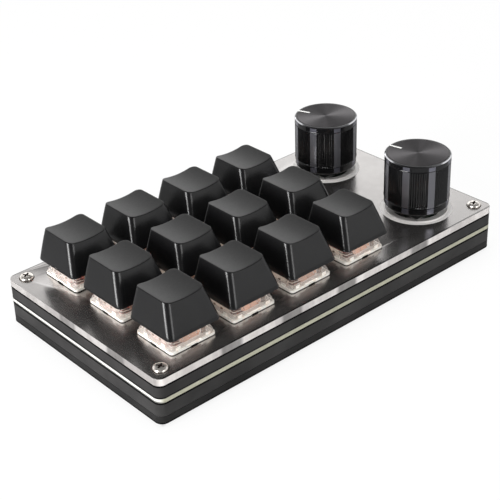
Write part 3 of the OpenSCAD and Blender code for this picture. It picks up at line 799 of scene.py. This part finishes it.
def knob_shape(z0, z1):
    """Foot ring, ribbed panels with narrow smooth lands between them, and a smooth band at the top."""
    angles = knob_angles()

    def ring(r, z, ribs=0.0):
        """A level of the knob: ribs is how deep the panels are cut there, from 0 to 1."""
        pts = []
        for a, i in angles:
            rr = r
            if i is not None and ribs and 0 < i < PANEL_SPANS:
                wave = 0.5 - 0.5*math.cos(2*math.pi*i/RIB_SPANS)
                rr = r - ribs*(PANEL_DEEP + RIB_DEEP*wave**GROOVE_POWER)
            pts.append((rr*math.cos(math.radians(a)), rr*math.sin(math.radians(a)), z))
        return pts

    foot = z0 + KNOB_LIFT
    body, band = foot + FOOT_H, z1 - BAND_H
    rings = [ring(BORE_R, z0 + BORE_DEEP), ring(BORE_R, z0 + 0.2), ring(HUB_R, z0 + 0.05), ring(5.2, foot),
             ring(KNOB_FOOT - 0.75, foot), ring(KNOB_FOOT - 0.45, foot + 0.04),
             ring(KNOB_FOOT - 0.15, foot + 0.2), ring(KNOB_FOOT, foot + 0.5),
             ring(KNOB_FOOT + 0.02, body - 0.42), ring(KNOB_FOOT - 0.10, body - 0.28),
             ring(KNOB_FOOT - 0.08, body - 0.12), ring(KNOB_BODY - 0.12, body),
             ring(KNOB_BODY, body + 0.14, 0.2), ring(KNOB_BODY, body + 0.40, 1.0)]
    # The levels from which the foot ring's two runs of painted highlight start, and the body's first one
    foot_levels, first_body = (7, 8), 11
    rings += [ring(KNOB_BODY, body + 0.4 + (band - body - 0.8)*k/5, 1.0) for k in range(1, 5)]
    rings += [ring(KNOB_BODY, band - 0.40, 1.0), ring(KNOB_BODY, band - 0.14, 0.2)]
    last_body = len(rings) - 1
    rings += [ring(KNOB_BODY - 0.08, band - 0.02), ring(KNOB_R - 0.06, band + 0.10),
              ring(KNOB_R, z1 - 0.5), ring(KNOB_R - 0.01, z1 - 0.34)]
    s = Shape()
    s.loft(rings)
    # The lands are polished and paler, partly as painted sheen, and their runs up the band and down the foot
    # ring are painted highlights
    on_land = [i is None or i == PANEL_SPANS for _, i in angles]
    for f in range(len(s.faces)):
        level, column = divmod(f, len(angles))
        if on_land[column] and first_body <= level < last_body:
            s.mats[f] = LAND_POLISH_AND_SHEEN
        elif on_land[column] and (level in foot_levels or level == last_body + 2):
            s.mats[f] = PAINTED_GLINT
    # Bright chamfer and the seat of the disc
    edge, lip, seat_top, seat = (s.add(r) for r in (
        ring(KNOB_R - 0.01, z1 - 0.34), ring(KNOB_R - 0.30, z1 - 0.02),
        ring(KNOB_R - SEAT_INSET, z1 - 0.01), ring(KNOB_R - SEAT_INSET, z1 - SEAT_DEEP)))
    s.bridge(edge, lip, CHAMFER)
    s.bridge(lip, seat_top, BLACK)
    s.bridge(seat_top, seat, BLACK)
    s.face(seat, BLACK)
    return s


def disc_shape(z0, z1, r):
    """The turned face: fine rings and a dip in the middle."""
    edge, steps, ring_deep, dip, dip_r = 0.08, 46, 0.006, 0.03, 0.8
    profile = [(0, z0), (r - 0.05, z0), (r, z0 + 0.05), (r, z1 - edge), (r - edge, z1)]
    for i in range(1, steps):
        rr = (r - edge)*(1 - i/steps)
        profile.append((rr, z1 - (ring_deep if i % 2 else 0.0) - dip*math.exp(-(rr/dip_r)**2)))
    profile.append((0, z1 - dip))
    s = Shape()
    s.lathe(profile, 128)
    return s


def index_shape(z):
    """The painted index line on the disc's face, running out over the rim."""
    out, start = KNOB_R - LINE_OUT, KNOB_R - LINE_IN
    middle = (start + out)/2
    base = outline(LINE_HALF, (out - start)/2, 0.15, 4, 1)
    s = Shape()
    s.loft([[(x, y + middle, z - 0.1) for x, y in base],
            [(x, y + middle, z + 0.015) for x, y in base],
            [(x*0.9, y*0.99 + middle, z + 0.03) for x, y in base]], last="flat")
    return s


for k in KNOBS:
    x, y, z0, z1 = mid(f"knob_{k}")
    disc_low, disc_top = mid(f"knob_disc_{k}")[2:]
    body = f"knob_turn_{k}"
    turn = math.radians(INDEX_TURN[k] - 90)
    ob = knob_shape(z0, z1).make(f"grip_{k}", M_KNOB, M_CHAMFER, M_LAND_POLISH_AND_SHEEN, M_PAINTED_GLINT, sharp=16, at=(x, y, 0))
    ob.rotation_euler = (0, 0, math.radians(BODY_TURN - 90))
    place(ob, body, "knob_black", f"knob_{k}")
    disc = disc_shape(disc_low, disc_top, KNOB_R - DISC_INSET).make(
        f"turned_{k}", disc_material(f"turned_metal_{k}"), sharp=50, at=(x, y, 0))
    disc.rotation_euler = (0, 0, turn)
    place(disc, body, "disc_metal", f"knob_disc_{k}")
    paint = index_shape(disc_top).make(f"index_{k}", M_PAINT, sharp=40, at=(x, y, 0))
    paint.rotation_euler = (0, 0, turn)
    place(paint, body)


# The pale ring on the plate under each knob: its radii and depth, and the bead that stands on it

RING_R, RING_IN, RING_DEEP = 11.24, 7.4, 0.3
BEAD_AT, BEAD_HALF, BEAD_H, BEAD_SPANS = 9.75, 0.32, 0.42, 8


def ring_shape(top):
    """The ring about its own middle, its flat level with the plate's top."""
    low = top - RING_DEEP
    profile = [(RING_IN, low), (RING_R, low), (RING_R, top - 0.03), (RING_R - 0.03, top)]
    for i in range(BEAD_SPANS + 1):
        a = math.pi*i/BEAD_SPANS
        profile.append((BEAD_AT + BEAD_HALF*math.cos(a), top + BEAD_H*math.sin(a)))
    profile += [(RING_IN + 0.1, top), (RING_IN, top - 0.1), (RING_IN, low)]
    s = Shape()
    s.lathe(profile)
    return s


for k in KNOBS:
    x, y, _, _ = mid(f"knob_{k}")
    place(ring_shape(PLATE_TOP).make(f"knob_ring_{k}", M_RING, sharp=35, at=(x, y, 0)), "case", "clear_plate")


# Switch hoods: thin clear walls with an opening in the roof, and the clips that hold them down

# Levels of a hood from its foot up its outside and down its inside, as half the width, the front,
# the back, the corner radius and the height above the plate
HOOD_LEVELS = (
    (6.3, -6.3, 6.3, 0.4, 1.02), (7.3, -7.3, 7.3, 0.85, 1.02), (7.4, -7.4, 7.4, 0.9, 1.12),
    (7.4, -7.4, 7.4, 0.9, 1.95), (7.32, -7.3, 7.3, 0.9, 2.08), (5.52, -4.95, 4.85, 0.9, 6.38),
    (5.42, -4.88, 4.75, 0.85, 6.52), (5.22, -4.7, 4.55, 0.7, 6.6), (4.0, -3.3, 3.3, 0.15, 6.6),
    (3.9, -3.2, 3.2, 0.12, 6.5), (3.9, -3.2, 3.2, 0.12, 5.4), (4.7, -4.1, 4.0, 0.4, 5.4),
    (6.25, -6.25, 6.25, 0.4, 2.0), (6.3, -6.3, 6.3, 0.4, 1.02))
# Clips: their length, their foot above the plate, and for the sides and for the front and back
# where each starts, how far out it reaches and how high
CLIP_L, CLIP_LOW, CLIP_IN = 1.6, 1.0, 7.38
SIDE_CLIPS, SIDE_OUT, SIDE_TOP = (-4.6, 3.0), 7.52, 1.9
FACE_CLIPS, FACE_OUT, FACE_TOP = (-6.0, 4.4), 7.46, 1.8


def hood_shape(cx, cy, s):
    """A hood through its levels, and two clips on each of its four sides."""
    rings = []
    for half, front, back, r, z in HOOD_LEVELS:
        middle = (front + back)/2
        level = outline(half, (back - front)/2, r, 4, 4)
        rings.append([(cx + x, cy + middle + y, PLATE_TOP + z) for x, y in level])
    s.loft(rings)
    low = PLATE_TOP + CLIP_LOW
    for side in (-1, 1):
        for y in SIDE_CLIPS:
            x0, x1 = sorted((cx + side*CLIP_IN, cx + side*SIDE_OUT))
            s.box(x0, cy + y, low, x1, cy + y + CLIP_L, PLATE_TOP + SIDE_TOP, 1)
    for side in (-1, 1):
        for x in FACE_CLIPS:
            y0, y1 = sorted((cy + side*CLIP_IN, cy + side*FACE_OUT))
            s.box(cx + x, y0, low, cx + x + CLIP_L, y1, PLATE_TOP + FACE_TOP, 1)


# The painted shadow under a flange, and the notch in the middle of each of its sides
SHADE_OUT, SHADE_IN, SHADE_LOW, SHADE_TOP = 0.03, 0.5, 0.01, 0.20
NOTCH_HALF, NOTCH_THIN = 1.25, 0.06
# Heights of the notch above the plate, each with its width's share
NOTCH_LEVELS = ((0.15, 1.0), (0.42, 0.9))


def flange_painted_shadow(cx, cy, s):
    """A thin dark frame under the flange as painted shadow, with its four notches."""
    half = FLANGE/2
    loops = []
    for grow, r in ((SHADE_OUT, 0.9), (-SHADE_IN, 0.5)):
        loops.append([(cx + x, cy + y) for x, y in outline(half + grow, half + grow, r, 4, 2)])
    s.prism(loops, PLATE_TOP + SHADE_LOW, PLATE_TOP + SHADE_TOP)
    for dx, dy in ((0, -1), (1, 0), (0, 1), (-1, 0)):
        hx, hy = (NOTCH_HALF, NOTCH_THIN) if dx == 0 else (NOTCH_THIN, NOTCH_HALF)
        mx, my = cx + dx*(half - 0.01), cy + dy*(half - 0.01)
        s.loft([[(mx + x, my + y, PLATE_TOP + z) for x, y in outline(hx*share, hy, 0.05, 2, 1)]
                for z, share in NOTCH_LEVELS], first="flat", last="flat")


# What shows through a hood. Leaves on its front wall: where each starts from the switch's middle,
# its width, its foot and its top above the plate
LEAVES = ((-3.3, 0.7, 1.5, 3.3), (-2.3, 2.0, 1.15, 4.0), (0.0, 2.3, 1.4, 4.2), (2.7, 0.9, 1.8, 3.4))
LEAF_NEAR, LEAF_FAR, LEAF_BEND = 0.12, 0.32, 2.0
# The leaves start at the level of the flange's top
LEAF_FOOT = 1.1
# Bent wires at the front left corner: height above the plate, radius and length of the straight end
BENDS = ((1.75, 1.25, 1.9), (2.45, 1.05, 1.2), (3.1, 0.85, 0.7))
BEND_AT, BEND_R, BEND_START, BEND_STEP, BEND_STEPS = -4.9, 0.20, 170, 10, 10
# The lamp's foot at the right end as a box, the thin wire beside it, and dark marks on the left
# side, each with its start, height above the plate and tallness
LAMP_FOOT = ((4.3, -6.1, 1.1), (5.5, -5.6, 2.6))
LAMP_WIRE = ((3.9, -6.0, 1.2), (4.6, -5.8, 2.3), (5.2, -5.5, 3.3))
LAMP_WIRE_R = 0.14
MARKS = ((4.3, 1.4, 0.7), (1.6, 1.5, 0.4), (-1.4, 1.4, 0.5))
MARK_OUT, MARK_IN, MARK_L = -6.5, -6.28, 0.7
COPPER, WIRE, DARK = range(3)


def inner_y(z):
    """Where the inside of the hood's front wall is, z above the plate."""
    (_, top_y, _, _, top_z), (_, foot_y, _, _, foot_z) = HOOD_LEVELS[11:13]
    return foot_y + max(0.0, z - foot_z)*(top_y - foot_y)/(top_z - foot_z)


def hood_insides(cx, cy, s):
    """Contact leaves, their bent ends, and the lamp's foot."""
    def at(p):
        return (cx + p[0], cy + p[1], PLATE_TOP + p[2])

    for x0, width, foot, top in LEAVES:
        section = ((x0, LEAF_NEAR), (x0 + width, LEAF_NEAR), (x0 + width, LEAF_FAR), (x0, LEAF_FAR))
        s.loft([[at((x, inner_y(wall) + y, z)) for x, y in section]
                for wall, z in ((LEAF_FOOT, foot), (LEAF_BEND, LEAF_BEND), (top, top))],
               COPPER, first="flat", last="flat")
    for z, r, tail in BENDS:
        arc = []
        for i in range(BEND_STEPS + 1):
            a = math.radians(BEND_START + BEND_STEP*i)
            arc.append(at((BEND_AT + r*math.cos(a), BEND_AT + r*math.sin(a), z + 0.10*math.sin(3*a))))
        x, y, _ = arc[-1]
        arc.append((x + tail, y + 0.05, PLATE_TOP + z - 0.25))
        s.tube(arc, BEND_R, WIRE)
    s.box(*at(LAMP_FOOT[0]), *at(LAMP_FOOT[1]), DARK)
    s.tube([at(p) for p in LAMP_WIRE], LAMP_WIRE_R, WIRE)
    for y, z, tall in MARKS:
        s.box(*at((MARK_OUT, y, z)), *at((MARK_IN, y + MARK_L, z + tall)), DARK)


hoods, leaves, shades = Shape(), Shape(), Shape()
for q in KEYS:
    x, y, _, _ = mid(f"stem_{q}")
    hood_shape(x, y, hoods)
    hood_insides(x, y, leaves)
    flange_painted_shadow(x, y, shades)
place(leaves.make("hood_insides", M_LEAF, M_WIRE, M_FEET, sharp=35), "case", "copper")
place(shades.make("flange_painted_shadows", M_JOINT_AND_SHADE, sharp=35), "case", "black_frame")
place(hoods.make("hoods", M_HOOD, M_SW_BASE, sharp=35), "case", "clear_hood", "switch_hoods")


# Case layers with broken edges, the board's bare edge, and dark lines between the layers, partly dark joints
# and partly painted shade

BAND_OUT, BAND_IN, BAND_LOW, BAND_TOP = 0.02, 0.6, 0.12, 0.24
SEAM_OUT, SEAM_IN = 0.02, 0.5
# Dark stretches, from where to where: dark joints between the layers with painted shade, and at the case's
# foot a painted shadow
DARK_JOINTS_AND_SHADE = ((FRAME_TOP - 0.42, FRAME_TOP + 0.16), (BOARD_LOW - 0.48, BOARD_LOW + 0.10),
         (BOARD_TOP - 0.02, BOARD_TOP + 0.20), (BASE_LOW + 0.02, BASE_LOW + 0.45))


def frame_loops(hx, hy, grow, inset):
    """Outlines that lie a little outside a case layer and a little inside it."""
    return [outline(hx + grow, hy + grow, CASE_R, 12, 6),
            outline(hx - inset, hy - inset, CASE_R - inset, 12, 6)]


softened("switch_bases", "case", 0.12)
softened("top_plate", "case", 0.20)
softened("upper_frame", "case", 0.20)
softened("circuit_board", "case", 0.05, 1)
band = Shape()
band.prism(frame_loops(BOARD_X, BOARD_Y, BAND_OUT, BAND_IN), BOARD_LOW + BAND_LOW, BOARD_TOP - BAND_TOP)
place(band.make("board_band", M_BAND, sharp=35, bevel=0.05), "case", "board")
softened("lower_frame", "case", 0.20)
softened("base_plate", "case", 0.16)
seams = Shape()
for low, high in DARK_JOINTS_AND_SHADE:
    seams.prism(frame_loops(PLATE_X, PLATE_Y, SEAM_OUT, SEAM_IN), low, high)
place(seams.make("seam_joints_and_painted_shade", M_JOINT_AND_SHADE, sharp=35), "case", "black_frame")


# Case screws: low pan heads with a cross recess, and their shanks

HEAD_R, HEAD_FLAT, HEAD_H = 2.08, 1.36, 0.95
RECESS_DEEP, RECESS_TIP, RECESS_TAPER, RECESS_TURN = 0.60, 0.15, 0.80, 28
# Half the length and width of the cross, and where its arms meet
ARM_L, ARM_W, ARM_ROOT = 1.20, 0.30, 0.44
SHANK_R, SHANK_TIP_R, SHANK_L, SHANK_TIP = 1.25, 1.1, 13.0, 12.8
# Painted shadow: the clearance round a head is drawn as a dark ring, from its inner foot outwards and back
CLEARANCE_SHADOW = ((2.0, 0.0), (2.32, 0.0), (2.30, 0.03), (2.0, 0.04))


def cross_recess(cx, cy):
    """The outline of the cross, one arm after the other."""
    arm = ((ARM_ROOT, -ARM_W), (ARM_L - 0.1, -ARM_W), (ARM_L, -ARM_W*0.5),
           (ARM_L, ARM_W*0.5), (ARM_L - 0.1, ARM_W), (ARM_ROOT, ARM_W))
    pts = []
    for k in range(4):
        a = math.radians(RECESS_TURN) + k*math.pi/2
        pts += [(cx + x*math.cos(a) - y*math.sin(a), cy + x*math.sin(a) + y*math.cos(a)) for x, y in arm]
    return pts


def screw_shape(cx, cy, s):
    """Head, recess in painted shade, the dark ring of painted shadow round the head, and the shank."""
    z0, top = PLATE_TOP, PLATE_TOP + HEAD_H
    profile = ((HEAD_R - 0.12, 0.0), (HEAD_R, 0.10), (HEAD_R, 0.42), (HEAD_R - 0.10, 0.62),
               (HEAD_R - 0.35, 0.80), (HEAD_R - 0.65, 0.93), (HEAD_FLAT, HEAD_H))
    s.loft([lifted(circle(r, 64, cx, cy), z0 + z) for r, z in profile])
    cross = cross_recess(cx, cy)
    pts, faces = filled([circle(HEAD_FLAT, 64, cx, cy), cross])
    high = s.add(lifted(pts, top))
    for idx in faces:
        s.face([high[i] for i in idx])
    low = [(cx + (x - cx)*RECESS_TAPER, cy + (y - cy)*RECESS_TAPER) for x, y in cross]
    s.loft([lifted(cross, top), lifted(low, top - RECESS_DEEP)], 1,
           last=(cx, cy, top - RECESS_DEEP - RECESS_TIP))
    s.lathe([(r, z0 + z) for r, z in CLEARANCE_SHADOW], 48, 1, cx, cy)
    s.lathe([(0, z0 - SHANK_L), (SHANK_TIP_R, z0 - SHANK_L), (SHANK_R, z0 - SHANK_TIP), (SHANK_R, z0 + 0.02)],
            32, 0, cx, cy)


screw_x, screw_y = (half - SCREW_R for half in half_size("case_screws"))
heads = Shape()
for x, y in ((-screw_x, -screw_y), (screw_x, -screw_y), (-screw_x, screw_y), (screw_x, screw_y)):
    screw_shape(x, y, heads)
place(heads.make("screw_heads", M_SCREW, M_RECESS_SHADE, sharp=35), "case", "nickel", "case_screws")
softened("usb_socket", "case", 0.06)
for q in KEYS:
    softened(f"stem_{q}", f"key_{q}", 0.12)


# Stage

# Half the floor's side in metres, and its colour
FLOOR_HALF = 3
FLOOR_COLOUR = (0.9, 0.9, 0.9)
# How much of the floor's own shading is left to a camera, and where its glow fades under the case
FLOOR_SHADING = 0.10
GLOW_FROM, GLOW_FULL = 2.2, 1.2


def mix_shaders(tree, fac, a, b):
    node = tree.nodes.new("ShaderNodeMixShader")
    for output, socket in zip((fac, a, b), node.inputs):
        tree.links.new(output, socket)
    return node.outputs[0]


def floor_material():
    """A pale floor that takes the object's shadow. Cameras and clear pieces see it nearly white."""
    m, tree, bsdf = new_material("floor_white")
    feed(tree, bsdf, Base_Color=(*FLOOR_COLOUR, 1), Roughness=0.9, Specular_IOR_Level=0.1)
    path = tree.nodes.new("ShaderNodeLightPath").outputs
    # Polish sees the floor at about half strength, as a grey card
    card = tree.nodes.new("ShaderNodeBsdfDiffuse")
    feed(tree, card, Color=(*(c*0.5 for c in FLOOR_COLOUR), 1))
    lit = mix_shaders(tree, path["Is Glossy Ray"], bsdf.outputs[0], card.outputs[0])
    seen = calc(tree, "MAXIMUM", path["Is Camera Ray"], path["Is Transmission Ray"])
    # Under the case the floor is left to its shadow
    where = split(tree, coords(tree))
    clear = []
    for axis, half in (("X", PLATE_X), ("Y", PLATE_Y)):
        away = calc(tree, "ABSOLUTE", where[axis])
        clear.append(remap(tree, away, 0, 1, (half - GLOW_FROM)*MM, (half - GLOW_FULL)*MM))
    glow_part = calc(tree, "MULTIPLY", seen, calc(tree, "MAXIMUM", clear[0], clear[1]))
    glow = tree.nodes.new("ShaderNodeEmission")
    feed(tree, glow, Strength=1.0)
    out = next(n for n in tree.nodes if n.type == "OUTPUT_MATERIAL")
    share = calc(tree, "MULTIPLY", glow_part, 1 - FLOOR_SHADING)
    feed(tree, out, Surface=mix_shaders(tree, share, lit, glow.outputs[0]))
    return m


floor_mesh = bpy.data.meshes.new("floor")
h = FLOOR_HALF
floor_mesh.from_pydata([(-h, -h, 0), (h, -h, 0), (h, h, 0), (-h, h, 0)], [], [(0, 1, 2, 3)])
floor_mesh.materials.append(floor_material())
new_object("floor", floor_mesh)

# The room: polished faces see a white sweep low down on one side and a dim room elsewhere. Where the
# sweep starts and is full is given along the direction of the bright side, and where the ceiling
# starts and is full as the height of a direction of length 1.
BRIGHT_SIDE = (0.866, 0.500, 0.0)
SWEEP_FROM, SWEEP_FULL = -0.45, 0.05
CEILING_FROM, CEILING_FULL = 0.526, 0.572
DIM_ROOM, DIM_CEILING = 0.10, 0.13
# What rough faces get from all round
FILL = 0.42

world = bpy.data.worlds.new("studio")
world.use_nodes = True
tree = world.node_tree
tree.nodes.clear()
towards = tree.nodes.new("ShaderNodeTexCoord").outputs["Generated"]
path = tree.nodes.new("ShaderNodeLightPath").outputs
side = vector_calc(tree, "DOT_PRODUCT", towards, BRIGHT_SIDE)
room = remap(tree, side, DIM_ROOM, 1.0, SWEEP_FROM, SWEEP_FULL)
ceiling = remap(tree, split(tree, towards)["Z"], 1.0, DIM_CEILING, CEILING_FROM, CEILING_FULL)
glossy = calc(tree, "MULTIPLY", path["Is Glossy Ray"], calc(tree, "MULTIPLY", room, ceiling))
clear = calc(tree, "MAXIMUM", path["Is Camera Ray"], path["Is Transmission Ray"])
rest = calc(tree, "SUBTRACT", 1.0, calc(tree, "MAXIMUM", clear, path["Is Glossy Ray"]))
back = tree.nodes.new("ShaderNodeBackground")
strength = calc(tree, "ADD", calc(tree, "ADD", clear, glossy), calc(tree, "MULTIPLY", rest, FILL))
feed(tree, back, Color=(1, 1, 1, 1), Strength=strength)
out = tree.nodes.new("ShaderNodeOutputWorld")
tree.links.new(back.outputs[0], out.inputs["Surface"])
bpy.context.scene.world = world


def area_light(name, where, target, power, width, height):
    """A lamp in watts, with its place, target, width and height in metres."""
    data = bpy.data.lights.new(name, "AREA")
    data.energy = power
    data.shape = "RECTANGLE"
    data.size = width
    data.size_y = height
    ob = new_object(name, data, where)
    ob.rotation_euler = (Vector(target) - Vector(where)).to_track_quat("-Z", "Y").to_euler()
    return ob


# What the lamps near the object point at, in metres
MIDDLE = (0, 0, 0.02)
overhead = area_light("top_light", (-0.06, 0.02, 0.95), MIDDLE, 5.0, 0.6, 0.6)
# Polish doesn't mirror the lamp overhead
overhead.visible_glossy = False
area_light("left_strip", (-1.0, 0.0, 0.22), MIDDLE, 13.0, 0.42, 0.52)
area_light("front_strip", (0.06, -1.0, 0.28), MIDDLE, 3.2, 0.34, 0.56)
area_light("back_panel", (0.681, 0.786, 0.34), (0.258, -0.120, 0.34), 1.3, 1.10, 0.58)

# Camera, fitted to the photograph, its place in metres

cam_data = bpy.data.cameras.new("camera")
cam_data.sensor_width = 36
cam_data.lens = 91.87
cam_data.shift_x = 0.12109
cam_data.shift_y = -0.06044
cam_data.clip_start = 0.01
cam_data.clip_end = 20
cam = new_object("camera", cam_data, (-0.224402, -0.253542, 0.210872))
cam.rotation_euler = (1.066223, 0.051857, -0.693065)
bpy.context.scene.camera = cam
bpy.context.scene.view_settings.view_transform = "Standard"
